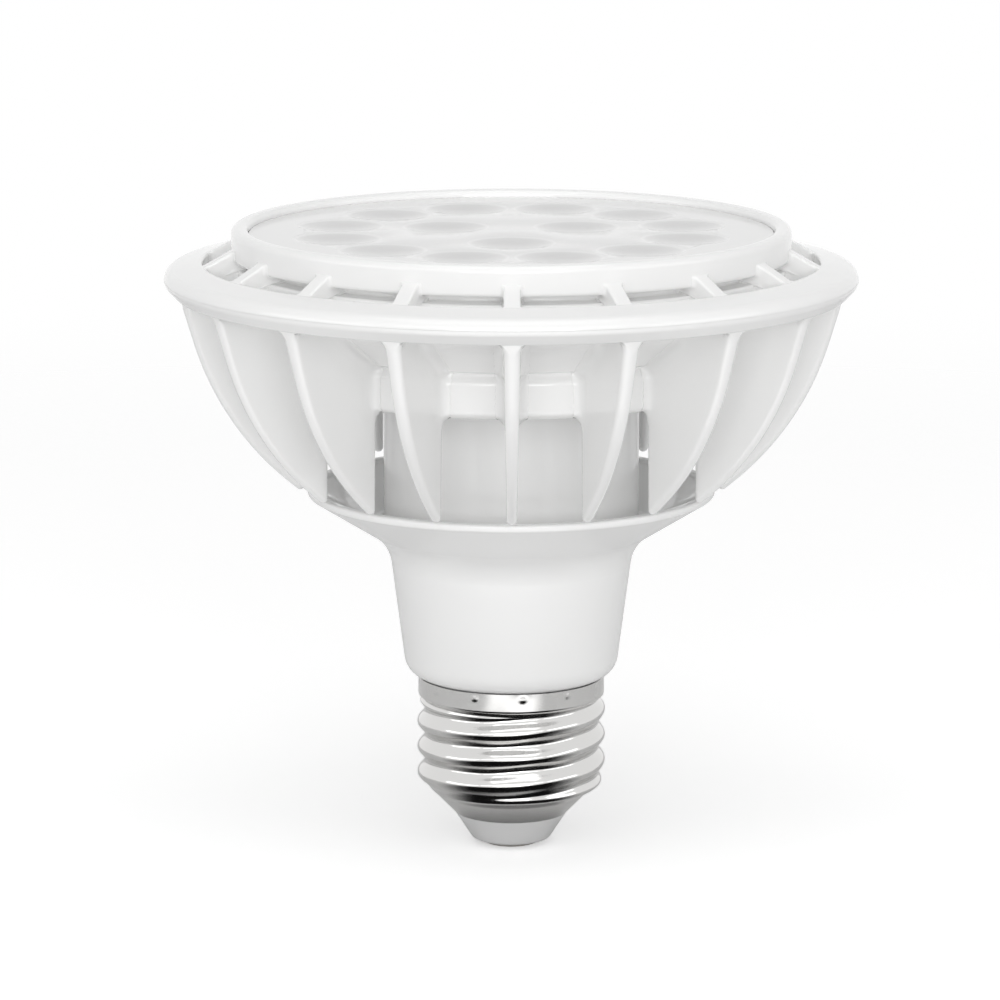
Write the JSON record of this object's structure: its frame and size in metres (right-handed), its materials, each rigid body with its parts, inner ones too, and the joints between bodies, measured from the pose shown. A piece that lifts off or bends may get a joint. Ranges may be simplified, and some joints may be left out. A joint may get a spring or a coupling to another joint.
{
  "type": "par spotlight bulb",
  "caption": "Reflector LED spotlight bulb: white finned housing with a slotted outer ring, a plate of lenses in its face, and a screw cap with a centre contact.",
  "frame": {"origin": "centre of the centre contact's flat tip, at the bottom of the cap on the lamp's axis", "axes": "+Z along the lamp's axis from the cap to the light face, -Y towards the fin that the picture shows in front"},
  "size_m": [0.095, 0.095, 0.087],
  "materials": {
    "white_casting": "glossy white paint on cast aluminium",
    "white_moulding": "glossy white moulded plastic",
    "plated_shell": "bright nickel plate on drawn and rolled brass",
    "insulator": "light grey moulded insulator, satin",
    "contact_metal": "tinned brass disc",
    "lens_plastic": "clear moulded plastic with frosted lens dimples",
    "seal_rubber": "white silicone ring",
    "pad_rubber": "grey silicone pad",
    "white_board": "aluminium circuit board with white solder mask",
    "led_package": "ceramic base with a clear dome over yellow phosphor",
    "screw_steel": "zinc-plated steel",
    "connector_plastic": "white nylon",
    "circuit_board": "glass-fibre board with green solder mask",
    "ferrite": "dark grey sintered ferrite",
    "winding_tape": "yellow polyester tape over the winding",
    "capacitor_can": "dark sleeve over an aluminium can",
    "film_case": "dip-coated film capacitor",
    "black_package": "black moulded package",
    "resistor_body": "green coated wire-wound resistor",
    "lead_brown": "brown insulated wire",
    "lead_blue": "blue insulated wire",
    "lead_red": "red insulated wire",
    "lead_black": "black insulated wire"
  },
  "bodies": {
    "root": {"heat_sink": "white_casting", "driver_housing": "white_moulding", "screw_shell": "plated_shell", "cap_insulator": "insulator", "centre_contact": "contact_metal", "lens_plate": "lens_plastic", "lens_seal": "seal_rubber", "thermal_pad": "pad_rubber", "led_board": "white_board", "leds": "led_package", "board_screws": "screw_steel", "housing_screws": "screw_steel", "board_connector": "connector_plastic", "driver_board": "circuit_board", "transformer_core": "ferrite", "transformer_winding": "winding_tape", "input_capacitor": "capacitor_can", "output_capacitor": "capacitor_can", "film_capacitor": "film_case", "bridge_rectifier": "black_package", "control_chip": "black_package", "filter_choke": "ferrite", "fuse_resistor": "resistor_body", "live_lead": "lead_brown", "neutral_lead": "lead_blue", "led_lead_plus": "lead_red", "led_lead_minus": "lead_black"}
  },
  "joints": []
}
